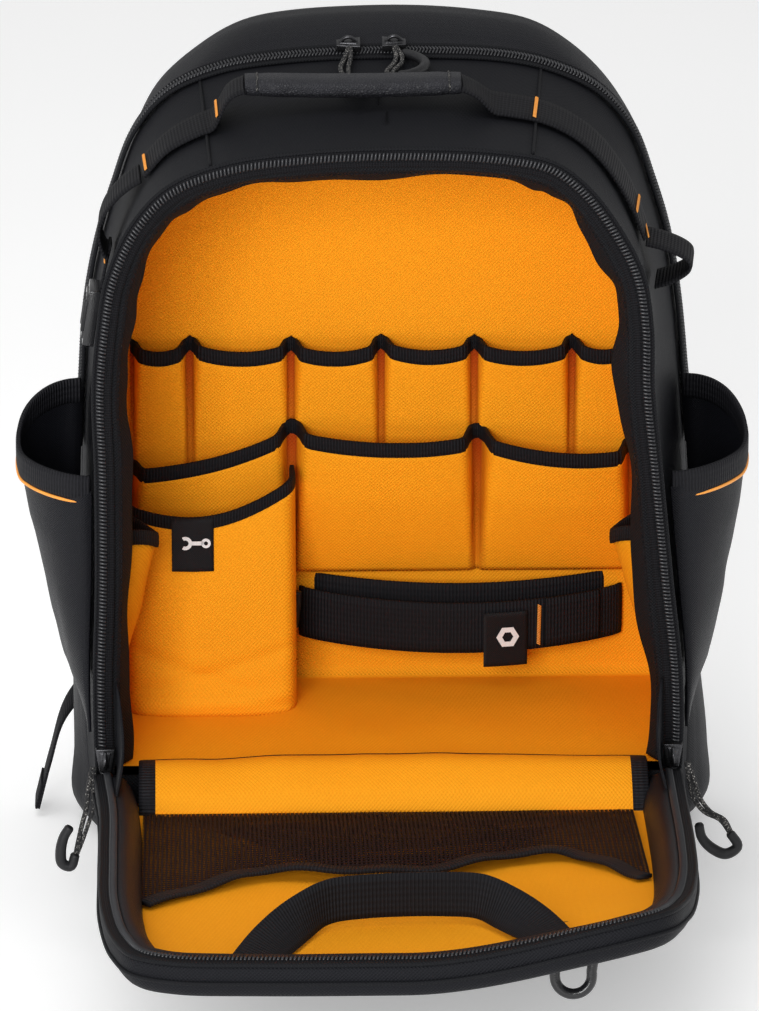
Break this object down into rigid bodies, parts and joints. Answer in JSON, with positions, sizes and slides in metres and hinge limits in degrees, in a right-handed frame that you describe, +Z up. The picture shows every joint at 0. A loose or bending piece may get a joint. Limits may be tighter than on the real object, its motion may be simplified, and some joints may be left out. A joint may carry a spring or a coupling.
{
  "type": "tool backpack",
  "caption": "Tall tool backpack with its front flap unzipped and folded forward, showing an orange lining with rows of pockets, a tool strap, side pockets, a top grip and two shoulder straps.",
  "frame": {"origin": "middle of the base on the floor, halfway between the front rim and the back", "axes": "+X to the viewer's right, +Y towards the wearer's back, +Z up"},
  "size_m": [0.4477, 0.6889, 0.535],
  "materials": {
    "black_fabric": "woven, matt",
    "satin_fabric": "woven, slight sheen",
    "orange_lining": "woven, slight sheen",
    "webbing": "ribbed webbing",
    "binding": "ribbed tape",
    "mesh": "open mesh",
    "zip_coil": "moulded coil",
    "slider_metal": "dark, glossy",
    "pull_plastic": "moulded",
    "grip_leather": "grained",
    "pull_cord": "braided",
    "tag_cloth": "woven label",
    "padding": "padded mesh cloth"
  },
  "bodies": {
    "root": {"front_shell": "black_fabric", "front_base_panel": "black_fabric", "compartment_lining": "orange_lining", "rear_shell": "black_fabric", "front_zip": "zip_coil", "zip_facing": "black_fabric", "rear_zip": "zip_coil", "upper_pockets": "orange_lining", "upper_pockets_binding": "binding", "middle_pockets": "orange_lining", "middle_pockets_binding": "binding", "box_pocket": "orange_lining", "box_pocket_binding": "binding", "box_pocket_tag": "tag_cloth", "left_wall_pocket": "orange_lining", "right_wall_pocket": "orange_lining", "tool_strap": "webbing", "tool_strap_tag": "tag_cloth", "left_side_pocket": "satin_fabric", "left_side_pocket_binding": "binding", "right_side_pocket": "satin_fabric", "right_side_pocket_binding": "binding", "flap_shell": "black_fabric", "flap_lining": "orange_lining", "flap_zip": "zip_coil", "flap_edge_band": "satin_fabric", "front_lip": "orange_lining", "mesh_pocket": "mesh", "mesh_pocket_hem": "binding", "flap_handle": "webbing", "flap_hook": "pull_plastic", "left_gusset": "black_fabric", "right_gusset": "black_fabric", "grip": "grip_leather", "left_top_webbing": "webbing", "right_top_webbing": "webbing", "gear_loop": "webbing", "right_tab": "webbing", "side_buckle": "pull_plastic", "back_pad": "padding", "left_shoulder_strap": "padding", "left_ladder_lock": "pull_plastic", "left_lower_webbing": "webbing", "right_shoulder_strap": "padding", "right_ladder_lock": "pull_plastic", "right_lower_webbing": "webbing", "strap_tail": "webbing", "front_left_cord": "pull_cord", "front_left_pull_end": "pull_plastic", "front_left_slider": "slider_metal", "front_right_cord": "pull_cord", "front_right_pull_end": "pull_plastic", "front_right_slider": "slider_metal", "rear_left_cord": "pull_cord", "rear_left_pull_end": "pull_plastic", "rear_left_slider": "slider_metal", "rear_right_cord": "pull_cord", "rear_right_pull_end": "pull_plastic", "rear_right_slider": "slider_metal"}
  },
  "joints": []
}
